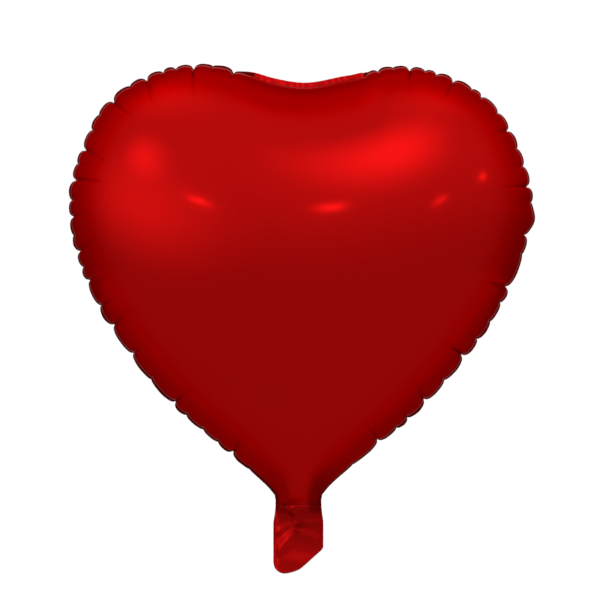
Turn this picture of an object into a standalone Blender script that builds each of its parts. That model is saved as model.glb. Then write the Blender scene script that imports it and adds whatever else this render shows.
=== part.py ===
"""Heart-shaped foil balloon, inflated.

Two heart-shaped foil sheets are welded round their edge and held apart by gas. Below the neck the two sheets
run on as a flat tail, and they end in two loose lips that part for the filling nozzle. Two thin films in the
neck are the valve: their outer ends lie in the tail, and their inner ends stand up inside the balloon.

Metres, +Z up, the front faces -Y. The origin is the middle of the neck, where a ribbon is tied. The foil is
drawn 0.4 mm thick and the valve's film 0.2 mm, which is several times thicker than they are, and films that
touch keep a gap of 0.3 mm.
"""

import math

import bpy
import numpy as np

MM = 0.001

# Driving dimensions. Heights are above the neck, and half widths are from the middle.
LOBE_TOP = 331.5 * MM
HALF_WIDTH = 177.5 * MM
CLEFT_HEIGHT = 319.5 * MM
NECK_HALF = 13.3 * MM
DEPTH = 206 * MM  # over both sheets
WELD = 4 * MM  # width of the welded edge outside the seam
FOIL = 0.4 * MM
GAP = 0.3 * MM
PANEL_FOOT = -5.5 * MM  # the weld across the neck

TAIL_HINGE = -7 * MM
TAIL_TOP = -8.5 * MM
TAIL_LEFT, TAIL_RIGHT = -20 * MM, 19 * MM
TAIL_FLARE = 2 * MM  # how much further out each side of the tail is than it is at its top
SIDE_WELD = 3 * MM
LIP_HINGE = -35 * MM
LIP_FOOT = -59.3 * MM
LIP_CORNER = 9 * MM
HINGE_GAP = 1 * MM

VALVE_FILM = 0.2 * MM
VALVE_HALF = 11 * MM
VALVE_TOP = 92 * MM
VALVE_FOOT = -4.5 * MM
VALVE_MOUTH = -31 * MM

# The distance of each film's middle from the plane of the seam
SEAM_OFFSET = GAP / 2 + FOIL / 2
VALVE_OFFSET = GAP / 2 + VALVE_FILM / 2
TAIL_OFFSET = VALVE_OFFSET + VALVE_FILM / 2 + GAP + FOIL / 2

# Mesh
SEAM_POINTS = 61
FOOT_POINTS = 4  # across the neck, between the two ends of the seam
RINGS = 9
RING_CENTRE = 195 * MM  # the height of the middle that the rings shrink to
GRID = 4 * MM  # the grid on which the inflated height is worked out
GRID_PASSES = 4000

FRONT, REAR = -1, 1
SIDES = {"front": FRONT, "rear": REAR}


def clear_scene():
    for obj in list(bpy.data.objects):
        bpy.data.objects.remove(obj, do_unlink=True)


def new_collection(name):
    collection = bpy.data.collections.new(name)
    bpy.context.scene.collection.children.link(collection)
    return collection


def material(name, colour, roughness, metallic):
    made = bpy.data.materials.new(name)
    made.use_nodes = True
    shader = made.node_tree.nodes["Principled BSDF"]
    shader.inputs["Base Color"].default_value = (*colour, 1)
    shader.inputs["Roughness"].default_value = roughness
    shader.inputs["Metallic"].default_value = metallic
    return made


def red_foil(piece):
    return material(f"{piece}_foil", (0.50, 0.004, 0.006), roughness=0.25, metallic=1)


def clear_film(piece):
    return material(f"{piece}_film", (0.80, 0.82, 0.84), roughness=0.35, metallic=0)


def smooth_curve(points, count):
    """count points, evenly spaced, on a Catmull-Rom curve through the given ones."""
    p = np.array(points, float)
    p = np.vstack([2 * p[0] - p[1], p, 2 * p[-1] - p[-2]])
    t = np.linspace(0, 1, 24, endpoint=False)[:, None]
    spans = []
    for a, b, c, d in zip(p[:-3], p[1:-2], p[2:-1], p[3:]):
        bend = (2 * a - 5 * b + 4 * c - d) * t**2 + (3 * b - 3 * c + d - a) * t**3
        spans.append(b + 0.5 * ((c - a) * t + bend))
    fine = np.vstack([*spans, p[-2:-1]])
    along = np.concatenate([[0], np.cumsum(np.linalg.norm(np.diff(fine, axis=0), axis=1))])
    at = np.linspace(0, along[-1], count)
    return np.stack([np.interp(at, along, fine[:, k]) for k in range(2)], axis=1)


def arc(centre, radius, start, end, count):
    """Points on a circle, from one angle to another in degrees."""
    angles = np.radians(np.linspace(start, end, count))
    return [(centre[0] + radius * math.cos(a), centre[1] + radius * math.sin(a)) for a in angles]


def seam_line():
    """The seam as (x, z), from the neck's right side, over both lobes and the cleft, to its left side."""
    right = [
        (NECK_HALF, PANEL_FOOT),
        (NECK_HALF + 0.5 * MM, 1 * MM),
        (0.15 * HALF_WIDTH, 0.055 * LOBE_TOP),
        (0.308 * HALF_WIDTH, 0.124 * LOBE_TOP),
        (0.543 * HALF_WIDTH, 0.233 * LOBE_TOP),
        (0.731 * HALF_WIDTH, 0.350 * LOBE_TOP),
        (0.875 * HALF_WIDTH, 0.468 * LOBE_TOP),
        (0.969 * HALF_WIDTH, 0.590 * LOBE_TOP),
        (HALF_WIDTH, 0.705 * LOBE_TOP),
        (0.948 * HALF_WIDTH, 0.810 * LOBE_TOP),
        (0.852 * HALF_WIDTH, 0.906 * LOBE_TOP),
        (0.688 * HALF_WIDTH, 0.969 * LOBE_TOP),
        (0.470 * HALF_WIDTH, LOBE_TOP),
        (0.220 * HALF_WIDTH, 0.982 * LOBE_TOP),
    ]
    left = [(-x, z) for x, z in reversed(right)]
    return smooth_curve([*right, (0, CLEFT_HEIGHT), *left], SEAM_POINTS)


def outward(line):
    """Unit normals of an open line of (x, z) points, to its right."""
    along = np.gradient(line, axis=0)
    along /= np.linalg.norm(along, axis=1)[:, None]
    return np.stack([along[:, 1], -along[:, 0]], axis=1)


def inside(outline, points):
    """Which points lie in a closed outline, by counting the edges to the right of each."""
    x, z = points[:, 0], points[:, 1]
    found = np.zeros(len(points), bool)
    for (x0, z0), (x1, z1) in zip(outline, np.roll(outline, -1, axis=0)):
        if z0 != z1:
            crosses = (z0 > z) != (z1 > z)
            found ^= crosses & (x < x0 + (z - z0) * (x1 - x0) / (z1 - z0))
    return found


def inflated_height(outline):
    """A function from (x, z) points to the inflated film's height above the plane of its seam.

    The square of the height follows the h that solves d2h/dx2 + d2h/dz2 = -1 with h = 0 along the seam. Over a
    round seam that is an ellipse. It is relaxed on a grid.
    """
    low, high = outline.min(axis=0) - 2 * GRID, outline.max(axis=0) + 2 * GRID
    x, z = np.arange(low[0], high[0], GRID), np.arange(low[1], high[1], GRID)
    across, up = np.meshgrid(x, z)
    within = inside(outline, np.stack([across.ravel(), up.ravel()], axis=1)).reshape(across.shape)
    h = np.zeros_like(across)
    for _ in range(GRID_PASSES):
        h[1:-1, 1:-1] = (h[:-2, 1:-1] + h[2:, 1:-1] + h[1:-1, :-2] + h[1:-1, 2:] + GRID**2) / 4
        h[~within] = 0
    scale = DEPTH / 2 / math.sqrt(h.max())

    def height_at(points):
        row, column = (points[:, 1] - z[0]) / GRID, (points[:, 0] - x[0]) / GRID
        i, j = row.astype(int), column.astype(int)
        u, v = row - i, column - j
        lower = h[i, j] * (1 - v) + h[i, j + 1] * v
        upper = h[i + 1, j] * (1 - v) + h[i + 1, j + 1] * v
        return scale * np.sqrt(lower * (1 - u) + upper * u)

    return height_at


def film_sheet(name, verts, faces, side, finish, collection, pivot=None):
    """A sheet of foil, as an open surface with Solidify. Its faces point away from the plane of the seam."""
    if pivot:
        verts = np.array(verts) - pivot.location
    if side == REAR:
        faces = [face[::-1] for face in faces]
    mesh = bpy.data.meshes.new(name)
    mesh.from_pydata([tuple(v) for v in verts], [], faces)
    mesh.materials.append(finish)
    mesh.shade_smooth()
    obj = bpy.data.objects.new(name, mesh)
    obj.parent = pivot
    collection.objects.link(obj)
    solid = obj.modifiers.new("thickness", "SOLIDIFY")
    solid.thickness = FOIL
    solid.offset = 0
    solid.use_even_offset = True
    return obj


def flat_film(name, outline, place, thickness, finish, collection, pivot=None):
    """A flat film from an outline of (x, z) points. Its origin is at place, in the outline's own frame."""
    curve = bpy.data.curves.new(name, "CURVE")
    curve.dimensions = "2D"
    curve.fill_mode = "BOTH"
    curve.extrude = thickness / 2
    curve.materials.append(finish)
    spline = curve.splines.new("POLY")
    spline.points.add(len(outline) - 1)
    for point, (x, z) in zip(spline.points, outline):
        point.co = (x - place[0], z - place[2], 0, 1)
    spline.use_cyclic_u = True
    obj = bpy.data.objects.new(name, curve)
    obj.rotation_euler.x = math.pi / 2
    obj.parent = pivot
    obj.location = np.array(place) - (pivot.location if pivot else np.zeros(3))
    collection.objects.link(obj)
    return obj


def foil_panel(name, side, collection):
    """One heart-shaped sheet: rings of points over the dome, and the flat weld outside its seam."""
    seam = seam_line()
    foot = np.linspace(seam[-1], seam[0], FOOT_POINTS + 2)[1:-1]
    outline = np.vstack([seam, foot])
    count = len(outline)
    centre = np.array([0, RING_CENTRE])

    reach = np.sin(np.linspace(0, math.pi / 2, RINGS + 1))[1:]
    rings = [centre + share * (outline - centre) for share in reach]
    dome = np.vstack([centre, *rings])
    rise = inflated_height(outline)(dome)
    rise[-count:] = 0
    weld = seam + WELD * outward(seam)
    weld[[0, -1], 1] = PANEL_FOOT

    flat = np.vstack([dome, weld])
    rise = np.concatenate([rise, np.zeros(len(weld))])
    verts = np.stack([flat[:, 0], side * (SEAM_OFFSET + rise), flat[:, 1]], axis=1)

    faces = [(0, 1 + k, 1 + (k + 1) % count) for k in range(count)]
    for ring in range(RINGS - 1):
        inner, outer = 1 + ring * count, 1 + (ring + 1) * count
        for k in range(count):
            j = (k + 1) % count
            faces.append((inner + k, outer + k, outer + j, inner + j))
    edge, rim = 1 + (RINGS - 1) * count, 1 + RINGS * count
    faces += [(edge + k, rim + k, rim + k + 1, edge + k + 1) for k in range(len(seam) - 1)]
    film_sheet(name, verts, faces, side, red_foil(name), collection)


def tail_edges(z):
    """The tail's left and right side at a height. It is narrower at its top, by the gathered neck."""
    share = min(1, (TAIL_TOP - z) / (12 * MM))
    inset = TAIL_FLARE * (1 - share * share * (3 - 2 * share))
    return TAIL_LEFT + inset, TAIL_RIGHT - inset


def tail_sheet(name, side, collection, pivot):
    """A sheet between the neck and its lip. It stands off the valve films and comes in to the side welds."""
    rows, columns = 6, 14
    verts = []
    for z in np.linspace(TAIL_TOP, LIP_HINGE + HINGE_GAP / 2, rows + 1):
        left, right = tail_edges(z)
        for x in np.linspace(left, right, columns + 1):
            lift = min(1, max(0, min(x - left, right - x) / SIDE_WELD - 0.5))
            verts.append((x, side * (SEAM_OFFSET + (TAIL_OFFSET - SEAM_OFFSET) * lift), z))
    wide = columns + 1
    starts = [row * wide + column for row in range(rows) for column in range(columns)]
    faces = [(k, k + wide, k + wide + 1, k + 1) for k in starts]
    film_sheet(name, verts, faces, side, red_foil(name), collection, pivot)


def lip_outline():
    """A loose lip: a round corner at its lower left, and a slanting cut at its lower right."""
    top = LIP_HINGE - HINGE_GAP / 2
    corner = arc((TAIL_LEFT + LIP_CORNER, LIP_FOOT + LIP_CORNER), LIP_CORNER, 180, 270, 7)
    cut = smooth_curve(
        [
            (-8 * MM, LIP_FOOT + 0.4 * MM),
            (-2 * MM, LIP_FOOT + 2.2 * MM),
            (3 * MM, LIP_FOOT + 5.3 * MM),
            (TAIL_RIGHT - 1 * MM, LIP_FOOT + 18.8 * MM),
        ],
        9,
    )
    return [(TAIL_RIGHT, top), (TAIL_LEFT, top), *corner, *cut]


def rectangle(half, low, high):
    return [(-half, low), (half, low), (half, high), (-half, high)]


def lip(name, side, collection, pivot):
    place = (0, side * TAIL_OFFSET, LIP_HINGE)
    flat_film(name, lip_outline(), place, FOIL, red_foil(name), collection, pivot)


def valve_film(name, side, collection, pivot):
    """One film of the valve, as the inlet in the tail and the flap inside the balloon."""
    flap, inlet = f"{name}_flap", f"{name}_inlet"
    standing = rectangle(VALVE_HALF, VALVE_FOOT, VALVE_TOP)
    hanging = rectangle(VALVE_HALF, VALVE_MOUTH, TAIL_TOP)
    offset = side * VALVE_OFFSET
    flat_film(flap, standing, (0, offset, VALVE_FOOT), VALVE_FILM, clear_film(flap), collection)
    flat_film(inlet, hanging, (0, offset, TAIL_HINGE), VALVE_FILM, clear_film(inlet), collection, pivot)


def main():
    clear_scene()
    balloon = new_collection("heart_foil_balloon")
    tail_fold = bpy.data.objects.new("tail_fold", None)
    tail_fold.location = (0, 0, TAIL_HINGE)
    balloon.objects.link(tail_fold)
    for name, side in SIDES.items():
        foil_panel(f"{name}_panel", side, balloon)
        tail_sheet(f"{name}_tail", side, balloon, tail_fold)
        lip(f"{name}_lip", side, balloon, tail_fold)
        valve_film(f"valve_{name}", side, balloon, tail_fold)


main()
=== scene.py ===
"""The looks of the heart-shaped foil balloon: its two foil skins with their puckered welded edge, the tail
and its lips, the valve's film, and the studio. Metres, +Z up, and the front faces -Y.

Each skin is a surface through four zones. The dome follows the height of an inflated membrane. Round its
seam the film is too long for the inflated outline, so it gathers in scallops, with a crease at each deep
notch. Outside the seam runs the weld, which leans to the rear, and below the neck the crumpled tail.
"""

import math

import bpy
import numpy as np
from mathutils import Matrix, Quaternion, Vector


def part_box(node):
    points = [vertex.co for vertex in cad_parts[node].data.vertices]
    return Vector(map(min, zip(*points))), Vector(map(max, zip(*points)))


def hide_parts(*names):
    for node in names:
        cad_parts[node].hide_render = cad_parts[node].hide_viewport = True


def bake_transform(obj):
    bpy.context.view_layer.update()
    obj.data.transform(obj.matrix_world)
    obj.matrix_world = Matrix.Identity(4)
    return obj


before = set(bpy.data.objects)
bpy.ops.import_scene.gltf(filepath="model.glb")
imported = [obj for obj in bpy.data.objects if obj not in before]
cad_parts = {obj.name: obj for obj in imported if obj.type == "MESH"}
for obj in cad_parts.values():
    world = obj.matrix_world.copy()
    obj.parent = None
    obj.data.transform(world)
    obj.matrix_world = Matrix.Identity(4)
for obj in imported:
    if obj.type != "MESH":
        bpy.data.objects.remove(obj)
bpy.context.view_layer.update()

MM = 0.001
FRONT, REAR = -1, 1
SIDES = {"front": FRONT, "rear": REAR}

# The frame's sizes
WELD = 4 * MM  # width of the weld outside the seam
panel_low, panel_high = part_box("front_panel")
lip_low, lip_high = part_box("front_lip")
HALF_WIDTH = panel_high.x - WELD
LOBE_TOP = panel_high.z - WELD
HALF_DEPTH = -panel_low.y
PANEL_FOOT = panel_low.z
CLEFT_HEIGHT = 319.5 * MM  # of the seam, between the lobes
NECK_HALF = 13.3 * MM  # from the middle of the neck to the seam
LIP_FOOT = lip_low.z
LIP_CORNER = 9 * MM  # radius of a lip's round corner

# How the blown-up balloon leans off the frame's symmetric heart
LEFT_NARROWER = 0.017  # share
LEFT_TALLER = 1.6 * MM
CLEFT_ASIDE = 3 * MM  # to the right

# Where the skins lie
SKIN_GAP = 0.15 * MM  # from the plane of the seam to a skin's weld
TAIL_LIFT = 1.1 * MM  # from that plane to the middle of the tail, over the valve's films
SKIN_JOIN = -23 * MM  # where a skin ends and its lip goes on
SIDE_WELD = 3 * MM
NECK_BULGE = 4.8 * MM  # height of the neck's end, where the tail starts
NECK_TILT = 0.3  # share by which one side of it is higher
NECK_FADE = 12 * MM  # length over which the tail flattens below it
# The most height that the dome may have near the neck: constant, slope and curve over the height above the
# tail, for millimetres, and how abruptly that limit takes over
NECK_TAPER = (5.2, 0.82, 0.004)
NECK_TAPER_SHARPNESS = 10
NECK_PUCKERS = 0.75  # how much of the puckers is left at the neck
FILM = 0.12 * MM  # a lip's thickness
REAR_LIP_LONGER = 0.7 * MM
FAR_FROM_SEAM = 30 * MM  # stands for the tail's distance from the seam, where the film isn't gathered

# Mesh
OUTLINE_POINTS = 1600  # round a panel, and a multiple of the largest ring step
FOOT_POINTS = 43  # of them across the neck, between the two ends of the seam
RINGS = 44
RING_CENTRE = 195 * MM
RING_STEPS = ((0.78, 1), (0.5, 2), (0.25, 4), (0, 8))  # a ring over this share takes every n-th point
TAIL_ROWS = 36
LIP_ROWS = 64
WELD_ROWS = (0.25, 0.5, 0.75, 1)  # shares of the weld's width
SHARP_EDGE = math.radians(52)
SOLVER_STEPS = 1500
SOLVER_REST = 1e-16

# Notches of the puckered edge: place as a share of the seam's half, from the neck up the side and over the
# lobe to the cleft, then depth and the length of the crease that runs in from it, in millimetres. A fourth
# value is the number of scallops up to the next notch, where it is not the usual one.
RIGHT_NOTCHES = (
    (0.085, 1.0, 0),
    (0.136, 4.0, 13),
    (0.226, 4.6, 15),
    (0.311, 5.0, 17),
    (0.375, 2.0, 0),
    (0.430, 4.6, 14),
    (0.510, 3.8, 5, 1),
    (0.558, 2.0, 0, 1),
    (0.580, 4.6, 17),
    (0.666, 4.2, 12),
    (0.727, 3.0, 5),
    (0.773, 4.4, 14),
    (0.838, 4.6, 13),
    (0.904, 2.0, 0),
)
LEFT_NOTCHES = (
    (0.076, 1.0, 0),
    (0.111, 4.4, 14),
    (0.165, 2.0, 0),
    (0.222, 4.4, 15),
    (0.270, 2.0, 0),
    (0.316, 3.6, 5),
    (0.366, 5.0, 16),
    (0.440, 4.0, 5),
    (0.484, 4.6, 14),
    (0.535, 4.0, 5),
    (0.588, 4.8, 21),
    (0.634, 4.8, 18),
    (0.715, 5.0, 17),
    (0.772, 5.0, 18),
    (0.842, 5.0, 20),
    (0.900, 4.0, 5),
)
SEED = 14
SCALLOP = 13.5 * MM  # usual width of a scallop
LOWER_SCALLOP = 19 * MM  # the same along the heart's two lower sides
LOWER_SIDES = 0.45  # share of the seam's half that they take up
WIDEST_SPAN = 60 * MM  # listed notches further apart than this have the cleft between them, and no scallops
UNEVEN = 0.12  # how unevenly the scallops are spaced, as a share of their width
SHALLOW_NOTCH = 2.7 * MM
SHALLOW_RANGE = (0.55, 1.4)  # shares of that depth
PUCKER_OUT = 3.9 * MM  # how far the seam bulges out between notches
PUCKER_REACH = 26 * MM  # how far in from the seam that bulge goes
SIDE_BULGE = 2.4 * MM  # how much further the seam bulges in one place on the right
SIDE_BULGE_SHARE = 0.534
SIDE_BULGE_WIDTH = 8 * MM
SCALLOP_ROUNDING = 13 * MM  # how far from a notch a scallop is round
CREASE_DEPTH = 0.6 * MM
CREASE_WIDTH = 1.1 * MM
CREASE_SLANT = 0.3  # at most, sideways for each unit inwards
REAR_CREASE_STRETCH = (0.5, 1.3)  # the rear's creases against the front's
SWAY = 1.1 * MM  # at most, of a scallop to the front or the rear
SWAY_REACH = 9 * MM
# Where the taut seam in the cleft passes into the puckered one, on either side, from the cleft's middle
CLEFT_RIGHT = (49 * MM, 55 * MM)
CLEFT_LEFT = (31 * MM, 50 * MM)
# How far the weld leans back, in degrees: in the cleft, and between these elsewhere
CLEFT_LEAN = 16
PUCKER_LEAN = (56, 72)
CRINKLE = 0.2 * MM  # height of the small waves across the weld


def smoothstep(value, low, high):
    t = np.clip((value - low) / (high - low), 0, 1)
    return t * t * (3 - 2 * t)


def smooth_curve(points, count):
    """count points, evenly spaced, on a Catmull-Rom curve through the given ones."""
    p = np.array(points, float)
    p = np.vstack([2 * p[0] - p[1], p, 2 * p[-1] - p[-2]])
    t = np.linspace(0, 1, 24, endpoint=False)[:, None]
    spans = []
    for a, b, c, d in zip(p[:-3], p[1:-2], p[2:-1], p[3:]):
        bend = (2 * a - 5 * b + 4 * c - d) * t**2 + (3 * b - 3 * c + d - a) * t**3
        spans.append(b + 0.5 * ((c - a) * t + bend))
    fine = np.vstack([*spans, p[-2:-1]])
    along = np.concatenate([[0], np.cumsum(np.linalg.norm(np.diff(fine, axis=0), axis=1))])
    at = np.linspace(0, along[-1], count)
    return np.stack([np.interp(at, along, fine[:, k]) for k in range(2)], axis=1)


def seam_line(count):
    """The mean seam as (x, z), from the neck's right side, over lobes and cleft, to its left side."""
    right = [
        (NECK_HALF, PANEL_FOOT),
        (NECK_HALF, 0),
        (NECK_HALF + 1.8 * MM, 6 * MM),
        (0.15 * HALF_WIDTH, 0.055 * LOBE_TOP),
        (0.308 * HALF_WIDTH, 0.124 * LOBE_TOP),
        (0.543 * HALF_WIDTH, 0.233 * LOBE_TOP),
        (0.731 * HALF_WIDTH, 0.350 * LOBE_TOP),
        (0.875 * HALF_WIDTH, 0.468 * LOBE_TOP),
        (0.969 * HALF_WIDTH, 0.590 * LOBE_TOP),
        (HALF_WIDTH, 0.705 * LOBE_TOP),
        (0.948 * HALF_WIDTH, 0.810 * LOBE_TOP),
        (0.852 * HALF_WIDTH, 0.906 * LOBE_TOP),
        (0.688 * HALF_WIDTH, 0.969 * LOBE_TOP),
        (0.470 * HALF_WIDTH, LOBE_TOP),
        (0.220 * HALF_WIDTH, 0.982 * LOBE_TOP),
    ]
    left = []
    for x, z in reversed(right):
        lobe = smoothstep(z, 0.4 * LOBE_TOP, 0.75 * LOBE_TOP)
        left.append((-x * (1 - LEFT_NARROWER * lobe), z + LEFT_TALLER * lobe))
    return smooth_curve([*right, (CLEFT_ASIDE, CLEFT_HEIGHT), *left], count)


def outward(line):
    """Unit normals of an open line of (x, z) points, to its right."""
    along = np.gradient(line, axis=0)
    along /= np.linalg.norm(along, axis=1)[:, None]
    return np.stack([along[:, 1], -along[:, 0]], axis=1)


class Panel:
    """The mesh that both panels share, before it is bulged: rings that shrink from the outline to a centre.

    Inner rings have fewer points than outer ones, so that no triangle gets much thinner than the others.
    """

    def __init__(self):
        self.seam_count = OUTLINE_POINTS - FOOT_POINTS
        self.seam = seam_line(self.seam_count)
        foot = np.linspace(self.seam[-1], self.seam[0], FOOT_POINTS + 2)[1:-1]
        self.outline = np.vstack([self.seam, foot])
        self.normal = outward(self.seam)
        steps = np.linalg.norm(np.diff(self.seam, axis=0), axis=1)
        self.along = np.concatenate([[0], np.cumsum(steps)])
        self.length = self.along[-1]
        self.flat, self.faces, self.rim_start = self.ring_mesh()
        self.triangles = self.split()
        self.height = self.membrane_height()
        self.place_on_seam()

    def ring_mesh(self):
        centre = np.array([0, RING_CENTRE])
        points, faces = [centre[None]], []
        start, inner_start, inner = 1, 0, 1
        for ring in range(1, RINGS + 1):
            share = math.sin(ring / RINGS * math.pi / 2)
            step = next(step for least, step in RING_STEPS if share > least)
            points.append(centre + share * (self.outline[::step] - centre))
            count = OUTLINE_POINTS // step
            k = np.arange(count)
            if inner == 1:
                faces += [(0, start + i, start + (i + 1) % count) for i in k]
            elif inner == count:
                for i in k:
                    j = (i + 1) % count
                    faces.append((inner_start + i, start + i, start + j, inner_start + j))
            else:
                for i in range(inner):
                    j, a, b, c = (i + 1) % inner, 2 * i, 2 * i + 1, (2 * i + 2) % count
                    p, q = inner_start + i, inner_start + j
                    faces += [(p, start + a, start + b), (p, start + b, q), (q, start + b, start + c)]
            inner_start, inner = start, count
            start += count
        return np.vstack(points), faces, inner_start

    def split(self):
        triangles = []
        for face in self.faces:
            triangles.append(face[:3])
            if len(face) == 4:
                triangles.append((face[0], face[2], face[3]))
        return np.array(triangles)

    def membrane_height(self):
        """Height above the seam's plane. Its square follows the h of Laplacian -1 that is 0 on the rim."""
        p, t = self.flat, self.triangles
        ends, weights = [], []
        for i, j, k in ((0, 1, 2), (1, 2, 0), (2, 0, 1)):
            u, v = p[t[:, i]] - p[t[:, k]], p[t[:, j]] - p[t[:, k]]
            cross = u[:, 0] * v[:, 1] - u[:, 1] * v[:, 0]
            ends.append(t[:, [i, j]])
            weights.append((u * v).sum(axis=1) / np.abs(cross) / 2)
        i, j = np.vstack(ends).T
        w = np.concatenate(weights)
        count = len(p)
        a, b, c = p[t[:, 0]], p[t[:, 1]], p[t[:, 2]]
        area = np.abs((b - a)[:, 0] * (c - a)[:, 1] - (b - a)[:, 1] * (c - a)[:, 0]) / 2
        load = np.bincount(t.ravel(), np.repeat(area / 3, 3), count)
        free = np.arange(count) < self.rim_start
        diagonal = np.bincount(i, w, count) + np.bincount(j, w, count)

        def stiffness(h):
            flow = w * (h[i] - h[j])
            return (np.bincount(i, flow, count) - np.bincount(j, flow, count)) * free

        h = np.zeros(count)
        rest = load * free
        step = rest / diagonal
        towards, size = step.copy(), rest @ step
        for _ in range(SOLVER_STEPS):
            pull = stiffness(towards)
            share = size / (towards @ pull)
            h += share * towards
            rest -= share * pull
            step = rest / diagonal
            new = rest @ step
            if new < SOLVER_REST * (load @ load):
                break
            towards, size = step + new / size * towards, new
        return (HALF_DEPTH - SKIN_GAP) * np.sqrt(np.maximum(h, 0) / h.max())

    def place_on_seam(self):
        """For each point, its distance from the seam, and which point of the seam is nearest."""
        self.distance = np.zeros(len(self.flat))
        self.nearest = np.zeros(len(self.flat), int)
        parts = 24  # done one after the other, to spare memory
        for some in np.array_split(np.arange(len(self.flat)), parts):
            apart = np.linalg.norm(self.flat[some][:, None] - self.seam[None], axis=2)
            self.nearest[some] = apart.argmin(axis=1)
            self.distance[some] = apart.min(axis=1)


class Puckers:
    """The scallops along the seam, and the creases that run in from their notches."""

    def __init__(self, panel):
        rng = np.random.default_rng(SEED)
        half = panel.length / 2
        listed = [(share * half, *rest) for share, *rest in RIGHT_NOTCHES]
        listed += [(panel.length - share * half, *rest) for share, *rest in reversed(LEFT_NOTCHES)]
        notches = []
        for here, ahead in zip(listed[:-1], listed[1:]):
            notches.append(here[:3])
            apart = ahead[0] - here[0]
            if apart > WIDEST_SPAN:
                continue
            lower = min(here[0], panel.length - here[0]) < LOWER_SIDES * half
            usual = max(1, round(apart / (LOWER_SCALLOP if lower else SCALLOP)))
            count = here[3] if len(here) > 3 else usual
            for k in range(1, count):
                place = here[0] + apart * (k + rng.normal(0, UNEVEN)) / count
                notches.append((place, SHALLOW_NOTCH / MM * rng.uniform(*SHALLOW_RANGE), 0))
        notches.append(listed[-1][:3])
        self.notches, depth, crease = (np.array(values) for values in zip(*notches))
        self.depth, self.crease = depth * MM, crease * MM
        self.length = panel.length
        self.side_bulge = SIDE_BULGE_SHARE * half
        count = len(self.notches)
        self.slant = {side: rng.uniform(-CREASE_SLANT, CREASE_SLANT, count) for side in SIDES.values()}
        self.stretch = {FRONT: np.ones(count), REAR: rng.uniform(*REAR_CREASE_STRETCH, count)}
        self.sway = rng.uniform(-SWAY / MM, SWAY / MM, count + 1) * MM
        self.lean = rng.uniform(*PUCKER_LEAN, count + 1)

    def bulge(self, along):
        """0 at each notch, and 1 in between."""
        past_end = 20 * MM
        places = np.sort([-past_end, *self.notches, self.length + past_end])
        k = np.clip(np.searchsorted(places, along), 1, len(places) - 1)
        before, after = along - places[k - 1], places[k] - along
        half = np.minimum((places[k] - places[k - 1]) / 2, SCALLOP_ROUNDING)
        from_notch = np.clip(np.minimum(before, after) / half, 0, 1)
        return np.sqrt(1 - (1 - from_notch) ** 2)

    def rolled(self, along, wider=0):
        """1 where the edge is rolled round to the rear, and 0 in the taut cleft."""
        from_cleft = along - self.length / 2
        right = smoothstep(-from_cleft, CLEFT_RIGHT[0] - wider, CLEFT_RIGHT[1] + wider)
        left = smoothstep(from_cleft, CLEFT_LEFT[0] - wider, CLEFT_LEFT[1] + wider)
        return np.maximum(right, left)

    def painted_edge_shade(self, along, x):
        """Painted shade on the rolled weld, which draws the dark line round the outline; least at the far
        right.
        """
        less = 0.25 * smoothstep(x, 0.6 * HALF_WIDTH, 0.95 * HALF_WIDTH)
        return np.clip(3 * self.rolled(along), 0, 1) * (1 - less)

    def from_neck(self, along):
        """Distance along the seam from its nearer end."""
        return np.minimum(along, self.length - along)

    def creases(self, along, distance, side):
        """1 along the creases that run in from the notches, and 0 off them."""
        notch = np.abs(along[:, None] - self.notches[None]).argmin(axis=1)
        crease = (self.crease * self.stretch[side])[notch]
        offset = along - self.notches[notch] - self.slant[side][notch] * distance
        across = np.exp(-((offset / CREASE_WIDTH) ** 2))
        inwards = np.exp(-((distance / np.maximum(crease, MM)) ** 3))
        return across * inwards * (crease > 0)

    def shift(self, along, distance, side):
        """How far the skin moves out along its normal."""
        notch = np.abs(along[:, None] - self.notches[None]).argmin(axis=1)
        depth = self.depth[notch]
        hollow = 1 - self.bulge(along)
        reach = 3 * MM + 0.6 * depth
        narrowing = 1 + distance / (3 * MM)
        out = PUCKER_OUT * self.rolled(along, 10 * MM) * np.exp(-((distance / PUCKER_REACH) ** 1.5))
        out -= depth * hollow**narrowing * np.exp(-distance / reach)
        beside = np.exp(-(((along - self.side_bulge) / SIDE_BULGE_WIDTH) ** 2))
        out += SIDE_BULGE * beside * np.exp(-distance / SIDE_BULGE_WIDTH)
        return out - CREASE_DEPTH * self.creases(along, distance, side)

    def swing(self, along, distance):
        """How far each scallop sways to the rear or the front."""
        k = np.searchsorted(self.notches, along)
        here = self.bulge(along) * self.rolled(along) * smoothstep(self.from_neck(along), 0, 60 * MM)
        return self.sway[k] * here * np.exp(-((distance / SWAY_REACH) ** 2))


def vertex_normals(points, triangles):
    a, b, c = (points[triangles[:, k]] for k in range(3))
    face = np.cross(b - a, c - a)
    total = np.zeros_like(points)
    for axis in range(3):
        for k in range(3):
            total[:, axis] += np.bincount(triangles[:, k], face[:, axis], len(points))
    return total / np.maximum(np.linalg.norm(total, axis=1), 1e-20)[:, None]


def neck_end(x, z, side):
    """How far the neck stands off the seam's plane at its foot, over the tail's own height."""
    across = np.clip(1 - (x / NECK_HALF) ** 2, 0, 1)
    tilt = 1 - NECK_TILT * side * x / NECK_HALF
    return NECK_BULGE * tilt * np.sqrt(across) * (1 - smoothstep(np.abs(z - PANEL_FOOT), 0, NECK_FADE))


def taper(flat, height):
    """The share of its height that the dome keeps: less near the neck, so that it tapers to the tail."""
    middle = np.flatnonzero(np.abs(flat[:, 0]) < 1.2 * MM)
    middle = middle[flat[middle, 1].argsort()]
    along_middle = np.interp(flat[:, 1], flat[middle, 1], height[middle])
    above = (flat[:, 1] - PANEL_FOOT) / MM
    start, slope, curve = NECK_TAPER
    most = (start + slope * above + curve * above**2) * MM
    return (1 + (along_middle / most) ** NECK_TAPER_SHARPNESS) ** (-1 / NECK_TAPER_SHARPNESS)


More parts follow.
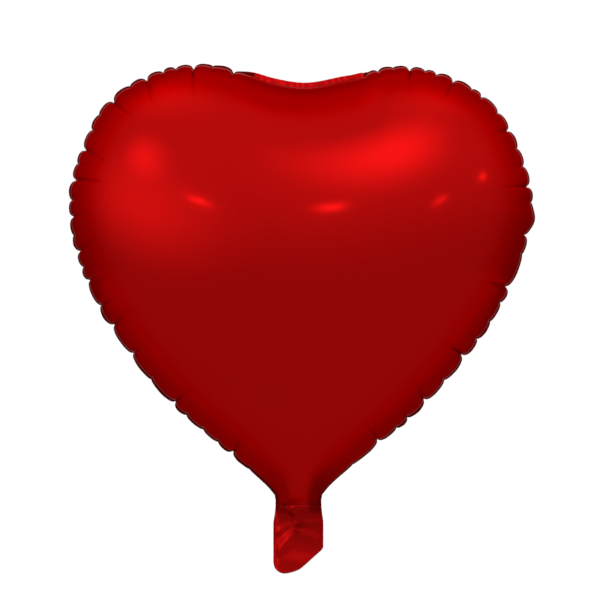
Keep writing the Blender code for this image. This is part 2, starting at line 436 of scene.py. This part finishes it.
def dome_points(panel, puckers, side):
    """The panel's points, bulged and puckered, and how far along the seam each one lies."""
    flat = panel.flat
    x, z = flat.T
    rim = slice(panel.rim_start, panel.rim_start + panel.seam_count)
    neck_foot = slice(panel.rim_start + panel.seam_count, None)
    foot = tail_height(x, np.full(len(flat), PANEL_FOOT), CREASES[side]) + neck_end(x, z, side)
    foot *= z < PANEL_FOOT + NECK_FADE
    height = np.hypot(panel.height, foot)
    height *= taper(flat, height)
    height[rim] = SKIN_GAP
    points = np.stack([x, side * np.maximum(height, SKIN_GAP), z], axis=1)

    normals = vertex_normals(points, panel.triangles) * -side
    normals[:, 2] *= smoothstep(z, PANEL_FOOT, PANEL_FOOT + NECK_FADE)
    normals /= np.maximum(np.linalg.norm(normals, axis=1), 1e-9)[:, None]
    normals[rim] = np.stack([panel.normal[:, 0], 0 * panel.normal[:, 0], panel.normal[:, 1]], axis=1)
    normals[neck_foot] = (0, side, 0)
    if (normals[0] @ (0, side, 0)) < 0:
        raise ValueError("the dome's faces point inwards")

    along = panel.along[panel.nearest]
    neck = NECK_PUCKERS + (1 - NECK_PUCKERS) * smoothstep(z, PANEL_FOOT, PANEL_FOOT + 14 * MM)
    out = puckers.shift(along, panel.distance, side) * neck
    points += out[:, None] * normals
    points[neck_foot, 0] *= 1 + out[panel.rim_start] / NECK_HALF
    points[:, 1] += puckers.swing(along, panel.distance)
    return points, along


def weld_rows(panel, puckers, rim):
    """Rows of points outside the seam. The weld leans back from its plane, and least in the cleft."""
    along = panel.along
    rolled = puckers.rolled(along)
    centres = (puckers.notches[:-1] + puckers.notches[1:]) / 2
    pucker_lean = np.interp(along, centres, puckers.lean[: len(centres)])
    lean = np.radians(CLEFT_LEAN * (1 - rolled) + pucker_lean * rolled)
    crinkle = CRINKLE * np.sin(along / (1.1 * MM) + 2.6 * np.sin(along / (5 * MM)))
    crinkle *= (1 - 0.6 * rolled) * smoothstep(puckers.from_neck(along), 0, 20 * MM)
    out = np.stack([panel.normal[:, 0], 0 * along, panel.normal[:, 1]], axis=1)
    back = np.array([0, 1, 0])
    rows = []
    for share in WELD_ROWS:
        row = rim + share * WELD * (np.cos(lean)[:, None] * out + np.sin(lean)[:, None] * back)
        row += (math.sin(share * math.pi * 0.8) * crinkle)[:, None] * back
        rows.append(row)
    return rows


def tail_sides(z):
    """The tail's left and right side at a height."""
    flare = smoothstep(-z, -PANEL_FOOT, 21 * MM)
    top = NECK_HALF + WELD
    return -top + (lip_low.x + top) * flare, top + (lip_high.x - top) * flare


def tent(x, z, start, end, width):
    """1 along a crease from start to end, and 0 from width on either side of it. Its crest is rounded."""
    start, end = np.array(start) * MM, np.array(end) * MM
    line = end - start
    share = np.clip(((x - start[0]) * line[0] + (z - start[1]) * line[1]) / (line @ line), 0, 1)
    apart = np.hypot(x - start[0] - share * line[0], z - start[1] - share * line[1]) / (width * MM)
    round_crest = 0.16
    slope = 1 - (np.hypot(apart, round_crest) - round_crest) / (math.hypot(1, round_crest) - round_crest)
    return np.maximum(0, np.sqrt(slope.clip(0) ** 2 + 0.003) - 0.055)


# Creases in the tail: from, to, width and height, in millimetres
FRONT_CREASES = (
    ((-15, -7), (-7, -9.5), 3.5, 1.3),
    ((-7, -9.5), (1, -17.5), 4, 1.8),
    ((1, -17.5), (-2, -22), 3.5, 1.3),
    ((-2, -22.6), (2, -24.5), 2.5, -1.0),
    ((-3, -25), (-5.5, -30), 6, 2.4),
    ((-5.5, -30), (-15.5, -42), 7, 2.7),
    ((-9, -23), (-16, -27), 4, 1.0),
    ((6, -19.5), (15, -18.5), 5, 1.0),
    ((5, -30), (16, -34), 6, 1.0),
    ((-13, -48), (4, -51), 8, 0.9),
)
REAR_CREASES = (
    ((-13, -8), (4, -14), 5, 2.0),
    ((4, -14), (12, -8), 4, 1.6),
    ((4, -14), (-3, -27), 5, 2.2),
    ((-3, -27), (14, -40), 8, 2.0),
    ((-3, -27), (-15, -35), 7, 1.8),
    ((-8, -46), (10, -50), 8, 0.8),
)
CREASES = {FRONT: FRONT_CREASES, REAR: REAR_CREASES}


def tail_height(x, z, creases):
    """How far a sheet of the tail stands off the seam's plane. Where creases meet, the higher one wins."""
    left, right = tail_sides(z)
    inner = smoothstep(np.minimum(x - left, right - x), 0.8 * MM, SIDE_WELD + 2 * MM)
    down = smoothstep(-z, -PANEL_FOOT - 2 * MM, 9 * MM)
    ridges, grooves = 0, 0
    for start, end, width, height in creases:
        fold = (abs(height) * tent(x, z, start, end, width)) ** 4
        if height > 0:
            ridges = ridges + fold
        else:
            grooves = grooves + fold
    lift = TAIL_LIFT + MM * (ridges**0.25 - grooves**0.25)
    mouth = smoothstep(-z, 40 * MM, 60 * MM)
    return SKIN_GAP + inner * down * lift + (0.2 + 0.8 * inner) * 0.9 * MM * mouth


# Painted shade: how far the foil is darkened and loses its metal sheen, standing in for the shade in folds,
# creases and the rolled edge, from 0 for taut film to 1
TAIL_SHADE = 0.42
FOLDS_SHADE = {"left": 0.42, "right": 0.72}  # more than that, painted shade in the folds at the neck's sides
PIT_SHADE = 0.35  # more than that, painted shade in the pit in the middle of the tail
MOST_SHADE = 0.85
FACET_LESS_SHADE = 0.9  # share of the painted shade taken off the tail's brightest facet, which is left lighter
# painted shade along the heart's two lower sides
BORDER_SHADE = {"left": 0.24, "right": 0.33}
# painted shade in the creases that run in from the notches
CREASE_SHADE = 0.4
REAR_WELD_SHADE = 0.35  # painted shade on the rear skin's weld, as a share of the front's


def tail_painted_shade(x, z, aside):
    """The painted shade of the neck and the tail: darker in the folds at the neck's sides and in the tail's
    pit, less on its brightest facet. aside is 0 in the middle and 1 at the edge.
    """
    tail = TAIL_SHADE * smoothstep(-z, 0, 10 * MM) * (1 - 0.8 * smoothstep(-z, 26 * MM, 46 * MM))
    folds = smoothstep(aside, 0.25, 0.7)
    folds *= smoothstep(-z, -32 * MM, -4 * MM) * (1 - smoothstep(-z, 7 * MM, 15 * MM))
    tail += np.where(x > 0, FOLDS_SHADE["right"], FOLDS_SHADE["left"]) * folds
    pit = np.exp(-(((x + 1 * MM) / (5 * MM)) ** 2) - ((z + 22.5 * MM) / (2.6 * MM)) ** 2)
    from_facet = x + 11 * MM + 0.7 * (z + 29 * MM)
    facet = np.exp(-((from_facet / (5 * MM)) ** 2) - ((z + 29 * MM) / (10 * MM)) ** 2)
    return np.clip(tail + PIT_SHADE * pit, 0, MOST_SHADE) * (1 - FACET_LESS_SHADE * facet)


def border_painted_shade(x, z, from_seam):
    """Painted shade: the gathered film along the heart's two lower sides is darkened a little against the
    taut film.
    """
    band = smoothstep(from_seam, 1 * MM, 6 * MM) * (1 - smoothstep(from_seam, 8 * MM, 17 * MM))
    lower = 1 - smoothstep(z, 0.42 * LOBE_TOP, 0.62 * LOBE_TOP)
    most = np.where(x > 0, BORDER_SHADE["right"], BORDER_SHADE["left"])
    return most * band * lower * smoothstep(z, 0, 30 * MM)


def lip_foot(x):
    """The height of a lip's lower edge: a round corner on the left and a slanting cut on the right."""
    cut = smooth_curve(
        [
            (lip_low.x + LIP_CORNER, LIP_FOOT),
            (-8 * MM, LIP_FOOT + 0.4 * MM),
            (-2 * MM, LIP_FOOT + 2.2 * MM),
            (3 * MM, LIP_FOOT + 5.3 * MM),
            (lip_high.x - 2 * MM, LIP_FOOT + 18 * MM),
            (lip_high.x, LIP_FOOT + 21 * MM),
        ],
        60,
    )
    short = np.clip(lip_low.x + LIP_CORNER - x, 0, LIP_CORNER)
    corner = LIP_FOOT + LIP_CORNER - np.sqrt(LIP_CORNER**2 - short**2)
    return np.where(x < lip_low.x + LIP_CORNER, corner, np.interp(x, cut[:, 0], cut[:, 1]))


def new_object(name, points, faces, materials, side, attributes=None):
    """A mesh object whose faces point away from the seam's plane."""
    mesh = bpy.data.meshes.new(name)
    flipped = [face[::-1] for face in faces] if side == REAR else faces
    mesh.from_pydata(points.tolist(), [], [tuple(int(k) for k in face) for face in flipped])
    for finish in materials:
        mesh.materials.append(finish)
    for label, values in (attributes or {}).items():
        mesh.attributes.new(label, "FLOAT", "POINT").data.foreach_set("value", values.astype(np.float32))
    mesh.shade_smooth()
    mesh.set_sharp_from_angle(angle=SHARP_EDGE)
    obj = bpy.data.objects.new(name, mesh)
    bpy.context.scene.collection.objects.link(obj)
    return obj


def grid_faces(rows):
    """Faces between rows of point numbers that run from left to right, the top row first."""
    faces = []
    for upper, lower in zip(rows[:-1], rows[1:]):
        for k in range(len(upper) - 1):
            faces.append((upper[k], lower[k], lower[k + 1], upper[k + 1]))
    return faces


def skin(name, side, panel, puckers, finish):
    """A whole foil sheet but for its lip: dome, weld and the upper part of the tail."""
    points, along = dome_points(panel, puckers, side)
    faces = list(panel.faces)
    count = panel.seam_count
    rim = points[panel.rim_start : panel.rim_start + count]
    previous = panel.rim_start + np.arange(count)
    weld = []
    blocks, distances, places = [points], [panel.distance], [along]
    # Painted shade over the dome: at the neck, along the lower sides, in the creases and on the rolled weld
    beside = np.abs(points[:, 0])
    dome = tail_painted_shade(points[:, 0], points[:, 2], beside / (beside + panel.distance + MM))
    dome += border_painted_shade(points[:, 0], points[:, 2], panel.distance)
    # painted shade in the creases
    in_crease = puckers.creases(along, panel.distance, side) * smoothstep(panel.distance, 0, 3 * MM)
    dome += CREASE_SHADE * in_crease
    # painted shade on the rolled weld, the dark line round the outline
    edge = puckers.painted_edge_shade(along, points[:, 0]) * (1 if side == FRONT else REAR_WELD_SHADE)
    painted_shade = [np.maximum(dome, edge * np.exp(-((panel.distance / (0.8 * MM)) ** 2)))]
    total = len(points)
    # painted shade on the weld's rows
    row_shade = (1, 1, 1, 0.5) if side == FRONT else (REAR_WELD_SHADE,) * 4
    for row, share in zip(weld_rows(panel, puckers, rim), row_shade):
        numbers = total + np.arange(count)
        faces += [(previous[k], numbers[k], numbers[k + 1], previous[k + 1]) for k in range(count - 1)]
        weld.append(numbers)
        blocks.append(row)
        distances.append(np.zeros(count))
        places.append(panel.along)
        painted_shade.append(puckers.painted_edge_shade(panel.along, row[:, 0]) * share)
        previous = numbers
        total += count

    foot = panel.rim_start + np.arange(count, OUTLINE_POINTS)
    top = [row[-1] for row in reversed(weld)] + [panel.rim_start + count - 1, *foot, panel.rim_start]
    top += [row[0] for row in weld]
    upper = np.vstack(blocks)[top]
    across = (upper[:, 0] - upper[0, 0]) / (upper[-1, 0] - upper[0, 0])
    left, right = tail_sides(PANEL_FOOT)
    aside = upper[:, 0] - (left + (right - left) * across)
    stand_off = upper[:, 1] - side * tail_height(upper[:, 0], upper[:, 2], CREASES[side])
    rows = [np.array(top)]
    for z in np.linspace(PANEL_FOOT, SKIN_JOIN, TAIL_ROWS + 1)[1:]:
        left, right = tail_sides(z)
        fade = 1 - smoothstep(PANEL_FOOT - z, 0, NECK_FADE)
        x = left + (right - left) * across + fade * aside
        y = side * tail_height(x, np.full_like(x, z), CREASES[side]) + fade * stand_off
        blocks.append(np.stack([x, y, np.full_like(x, z)], axis=1))
        distances.append(np.full(len(x), FAR_FROM_SEAM))
        places.append(x)
        # painted shade of the tail
        painted_shade.append(tail_painted_shade(x, np.full_like(x, z), np.abs(2 * across - 1)))
        rows.append(total + np.arange(len(x)))
        total += len(x)
    faces += grid_faces(rows)
    attributes = {
        "from_seam": np.concatenate(distances),
        "along_seam": np.concatenate(places),
        "painted_shade": np.concatenate(painted_shade),
    }
    obj = new_object(f"{name}_skin", np.vstack(blocks), faces, [finish], side, attributes)
    return obj, across


def lip_skin(name, side, across, finishes):
    """The lower part of a sheet's tail, with its loose lip: a closed film whose inside is bare metal."""
    left, right = tail_sides(SKIN_JOIN)
    x = left + (right - left) * across
    foot = lip_foot(x) - (REAR_LIP_LONGER if side == REAR else 0)
    blocks, rows, total = [], [], 0
    for share in np.linspace(0, 1, LIP_ROWS + 1):
        z = SKIN_JOIN + (foot - SKIN_JOIN) * share
        y = side * tail_height(x, z, CREASES[side])
        blocks.append(np.stack([x, y, z], axis=1))
        rows.append(total + np.arange(len(x)))
        total += len(x)
    outer = np.vstack(blocks)
    inner = outer - (0, side * FILM, 0)
    faces = grid_faces(rows)
    inside = [tuple(k + total for k in reversed(face)) for face in faces]
    grid = np.array(rows)
    loop = [*grid[:, 0], *grid[-1, 1:], *grid[-2::-1, -1], *grid[0, -2:0:-1]]
    rim = [(b, a, a + total, b + total) for a, b in zip(loop, loop[1:] + loop[:1])]
    points = np.vstack([outer, inner])
    attributes = {"from_seam": np.full(len(points), FAR_FROM_SEAM), "along_seam": points[:, 0]}
    aside = np.tile(np.abs(2 * across - 1), 2 * (LIP_ROWS + 1))
    # painted shade of the tail, on the lip too
    attributes["painted_shade"] = tail_painted_shade(points[:, 0], points[:, 2], aside)
    obj = new_object(f"{name}_lip_skin", points, faces + inside + rim, finishes, side, attributes)
    obj.data.polygons.foreach_set("material_index", [0] * len(faces) + [1] * len(inside) + [0] * len(rim))
    return obj


class Nodes:
    """Shorthand for the node tree of a material or of the world."""

    def __init__(self, owner):
        self.owner = owner
        owner.use_nodes = True
        self.tree = owner.node_tree
        self.shader = self.tree.nodes.get("Principled BSDF")

    def add(self, kind, inputs=None, **settings):
        node = self.tree.nodes.new(kind)
        for key, value in settings.items():
            setattr(node, key, value)
        for key, value in (inputs or {}).items():
            if isinstance(value, bpy.types.NodeSocket):
                self.tree.links.new(value, node.inputs[key])
            else:
                node.inputs[key].default_value = value
        return node

    def math(self, operation, *values):
        return self.add("ShaderNodeMath", dict(enumerate(values)), operation=operation).outputs[0]

    def feed(self, socket, value):
        if isinstance(value, bpy.types.NodeSocket):
            self.tree.links.new(value, self.shader.inputs[socket])
        else:
            self.shader.inputs[socket].default_value = value


FOIL_REDS = ((0.70, 0.0050, 0.0050, 1), (0.78, 0.0062, 0.0060, 1))
# the dark red of the painted shade
SHADE_RED = (0.15, 0.0016, 0.0018, 1)
EDGE_TINT = (0.60, 0.01, 0.01, 1)  # of the film seen at a glancing angle
FOIL_ROUGHNESS = (0.125, 0.15)
GATHERED = 22 * MM  # how far in from the seam the film carries fine crinkles
GATHERED_ROUGHER = 0.03


def foil_material():
    """Red metallised film. Fine crinkles run in from the seam, and where shade is painted the film is
    darker and reflects less.
    """
    n = Nodes(bpy.data.materials.new("red_foil"))
    place = n.add("ShaderNodeTexCoord").outputs["Object"]
    from_seam = n.add("ShaderNodeAttribute", attribute_name="from_seam").outputs["Fac"]
    along = n.add("ShaderNodeAttribute", attribute_name="along_seam").outputs["Fac"]

    near = n.add("ShaderNodeMapRange", {"Value": from_seam}, interpolation_type="SMOOTHSTEP")
    near.inputs["From Max"].default_value = GATHERED
    near.inputs["To Min"].default_value = 1.0
    near.inputs["To Max"].default_value = 0.0
    stretched = n.add(
        "ShaderNodeCombineXYZ",
        {"X": n.math("MULTIPLY", along, 420.0), "Y": n.math("MULTIPLY", from_seam, 60.0), "Z": 0.0},
    )
    crinkle = n.add("ShaderNodeTexNoise", {"Vector": stretched.outputs[0], "Scale": 1.0, "Detail": 3.0})
    crinkle.inputs["Roughness"].default_value = 0.55
    crinkles = n.math("MULTIPLY", n.math("MULTIPLY", crinkle.outputs["Fac"], near.outputs[0]), 0.22)
    film = n.add("ShaderNodeTexNoise", {"Vector": place, "Scale": 26.0, "Detail": 2.0, "Roughness": 0.45})
    height = n.math("ADD", crinkles, n.math("MULTIPLY", film.outputs["Fac"], 0.3))
    bump = n.add("ShaderNodeBump", {"Height": height, "Strength": 0.6, "Distance": 0.6 * MM})
    n.feed("Normal", bump.outputs[0])

    grain = n.add("ShaderNodeTexNoise", {"Vector": place, "Scale": 900.0, "Detail": 2.0})
    rough = n.add("ShaderNodeMapRange", {"Value": grain.outputs["Fac"], "From Min": 0.3, "From Max": 0.7})
    rough.inputs["To Min"].default_value, rough.inputs["To Max"].default_value = FOIL_ROUGHNESS
    rougher = n.math("MULTIPLY", near.outputs[0], GATHERED_ROUGHER)
    n.feed("Roughness", n.math("ADD", rough.outputs[0], rougher))

    tone = n.add("ShaderNodeTexNoise", {"Vector": place, "Scale": 7.0, "Detail": 2.0})
    colour = n.add("ShaderNodeMix", data_type="RGBA")
    n.tree.links.new(tone.outputs["Fac"], colour.inputs[0])
    colour.inputs[6].default_value, colour.inputs[7].default_value = FOIL_REDS
    # painted shade: the foil's colour darkens towards a dark red
    painted_shade = n.add("ShaderNodeAttribute", attribute_name="painted_shade").outputs["Fac"]
    shaded_colour = n.add("ShaderNodeMix", {0: painted_shade, 6: colour.outputs[2], 7: SHADE_RED}, data_type="RGBA")
    n.feed("Base Color", shaded_colour.outputs[2])
    n.feed("Specular Tint", EDGE_TINT)
    n.feed("Specular IOR Level", 0.0)
    # painted shade also takes away the metal sheen
    n.feed("Metallic", n.math("SUBTRACT", 1.0, n.math("MULTIPLY", painted_shade, painted_shade)))
    return n.owner


def silver_material():
    """The inner face of the film: bare metal under clear polyethylene."""
    n = Nodes(bpy.data.materials.new("silver_film"))
    place = n.add("ShaderNodeTexCoord").outputs["Object"]
    film = n.add("ShaderNodeTexNoise", {"Vector": place, "Scale": 160.0, "Detail": 3.0})
    bump = n.add("ShaderNodeBump", {"Height": film.outputs["Fac"], "Strength": 0.4, "Distance": 0.2 * MM})
    n.feed("Normal", bump.outputs[0])
    rough = n.add("ShaderNodeMapRange", {"Value": film.outputs["Fac"], "To Min": 0.32, "To Max": 0.4})
    n.feed("Roughness", rough.outputs[0])
    n.feed("Base Color", (0.62, 0.61, 0.60, 1))
    n.feed("Metallic", 1.0)
    return n.owner


def valve_material():
    """The valve's clear film, clouded where it has been pressed."""
    n = Nodes(bpy.data.materials.new("valve_film"))
    place = n.add("ShaderNodeTexCoord").outputs["Object"]
    cloud = n.add("ShaderNodeTexNoise", {"Vector": place, "Scale": 120.0, "Detail": 3.0})
    rough = n.add("ShaderNodeMapRange", {"Value": cloud.outputs["Fac"], "To Min": 0.22, "To Max": 0.42})
    n.feed("Roughness", rough.outputs[0])
    bump = n.add("ShaderNodeBump", {"Height": cloud.outputs["Fac"], "Strength": 0.3, "Distance": 0.1 * MM})
    n.feed("Normal", bump.outputs[0])
    n.feed("Base Color", (0.82, 0.84, 0.86, 1))
    n.feed("Alpha", 0.55)
    return n.owner


def build_balloon():
    foil, silver, film = foil_material(), silver_material(), valve_material()
    panel = Panel()
    puckers = Puckers(panel)
    for name, side in SIDES.items():
        sheet, across = skin(name, side, panel, puckers, foil)
        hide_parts(f"{name}_panel", f"{name}_tail")
        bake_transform(sheet)
        lip = lip_skin(name, side, across, [foil, silver])
        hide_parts(f"{name}_lip")
        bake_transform(lip)
    for node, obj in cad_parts.items():
        if node.startswith("valve"):
            obj.data.materials.clear()
            obj.data.materials.append(film)


# The studio's soft patches of light: azimuth from the front towards the right and elevation in degrees,
# width and height as sines of the angles they reach, tilt in degrees, and strength. The last one is a dark
# card.
PATCHES = (
    (28, 46, 0.50, 0.44, 0, 0.72),
    (-58, 8, 0.80, 0.52, 0, 0.36),
    (-59, 32, 0.28, 0.26, 0, 0.50),
    (-100, 68, 0.50, 0.50, 0, 0.28),
    (90, 68, 0.45, 0.45, 0, 0.22),
    (180, 55, 0.60, 0.45, 0, 0.12),
    (180, 18, 0.85, 0.32, 0, 0.35),
    (9, 21, 0.115, 0.035, 0, 2.4),
    (-31.5, 18, 0.12, 0.022, -6, 3.2),
    (72.5, 18.5, 0.07, 0.050, 0, 1.7),
    (48, 13.5, 0.085, 0.022, 20, 2.6),
    (110, 0, 0.80, 0.60, 0, -0.05),
)


def patch(n, direction, azimuth, elevation, wide, tall, tilt, strength):
    """A soft oval patch of the world's light."""
    a, e = math.radians(azimuth), math.radians(elevation)
    towards = Vector((math.sin(a) * math.cos(e), -math.cos(a) * math.cos(e), math.sin(e)))
    turn = towards.to_track_quat("Z", "Y") @ Quaternion((0, 0, 1), math.radians(tilt))
    local = n.add("ShaderNodeMapping", {"Vector": direction}, vector_type="TEXTURE")
    local.inputs["Rotation"].default_value = turn.to_euler()
    local.inputs["Scale"].default_value = (wide, tall, 1)
    parts = n.add("ShaderNodeSeparateXYZ", {"Vector": local.outputs[0]})
    across = n.math("POWER", parts.outputs["X"], 2.0)
    upwards = n.math("POWER", parts.outputs["Y"], 2.0)
    out = n.math("SQRT", n.math("ADD", across, upwards))
    soft = n.add("ShaderNodeMapRange", {"Value": out}, interpolation_type="SMOOTHSTEP")
    soft.inputs["To Min"].default_value = strength
    soft.inputs["To Max"].default_value = 0.0
    return n.math("MULTIPLY", soft.outputs[0], n.math("GREATER_THAN", parts.outputs["Z"], 0.0))


SKY_BELOW, SKY_ABOVE = 0.38, 0.61
SKY_BEHIND = 0.68  # share of the light that is left behind the balloon
SKY_LEAST = 0.04


def sky():
    """White to the camera. To everything else, a grey studio that is brighter above and darker behind."""
    n = Nodes(bpy.data.worlds.new("studio"))
    bpy.context.scene.world = n.owner
    n.tree.nodes.clear()
    direction = n.add("ShaderNodeTexCoord").outputs["Generated"]
    parts = n.add("ShaderNodeSeparateXYZ", {"Vector": direction})
    up = n.add("ShaderNodeMapRange", {"Value": parts.outputs["Z"], "From Min": -0.3, "From Max": 0.6})
    up.interpolation_type = "SMOOTHSTEP"
    up.inputs["To Min"].default_value = SKY_BELOW
    up.inputs["To Max"].default_value = SKY_ABOVE
    back = n.add("ShaderNodeMapRange", {"Value": parts.outputs["Y"], "From Min": -0.3, "From Max": 0.7})
    back.interpolation_type = "SMOOTHSTEP"
    back.inputs["To Min"].default_value = 1.0
    back.inputs["To Max"].default_value = SKY_BEHIND
    light = n.math("MULTIPLY", up.outputs[0], back.outputs[0])
    for values in PATCHES:
        light = n.math("ADD", light, patch(n, direction, *values))
    light = n.math("MAXIMUM", light, SKY_LEAST)
    seen = n.add("ShaderNodeBackground", {"Color": (1, 1, 1, 1), "Strength": 1.0})
    lit = n.add("ShaderNodeBackground", {"Color": (1, 1, 1, 1), "Strength": light})
    to_camera = n.add("ShaderNodeLightPath").outputs["Is Camera Ray"]
    mix = n.add("ShaderNodeMixShader", {0: to_camera, 1: lit.outputs[0], 2: seen.outputs[0]})
    n.add("ShaderNodeOutputWorld", {"Surface": mix.outputs[0]})


FLOOR_RADIUS = 2.4
FLOOR_HEIGHT = -0.62


def studio():
    bpy.context.scene.view_settings.view_transform = "Standard"
    at = (0, 0, FLOOR_HEIGHT)
    bpy.ops.mesh.primitive_circle_add(vertices=96, radius=FLOOR_RADIUS, fill_type="NGON", location=at)
    floor = bpy.context.object
    floor.name = "floor"
    n = Nodes(bpy.data.materials.new("floor_paint"))
    place = n.add("ShaderNodeTexCoord").outputs["Object"]
    grain = n.add("ShaderNodeTexNoise", {"Vector": place, "Scale": 40.0, "Detail": 3.0})
    rough = n.add("ShaderNodeMapRange", {"Value": grain.outputs["Fac"], "To Min": 0.7, "To Max": 0.8})
    n.feed("Roughness", rough.outputs[0])
    n.feed("Base Color", (0.60, 0.60, 0.60, 1))
    floor.data.materials.append(n.owner)
    sky()


def camera():
    """Level with the middle of the balloon, square on to its front."""
    data = bpy.data.cameras.new("camera")
    obj = bpy.data.objects.new("camera", data)
    away = 2.5
    view_height = 468.8 * MM
    aside, level = 0.8 * MM, 153.3 * MM
    data.lens = data.sensor_width / view_height * away
    obj.location = (aside, -away, level)
    obj.rotation_euler = (math.pi / 2, 0, 0)
    data.clip_start = 0.05
    bpy.context.scene.collection.objects.link(obj)
    bpy.context.scene.camera = obj


camera()
build_balloon()
studio()
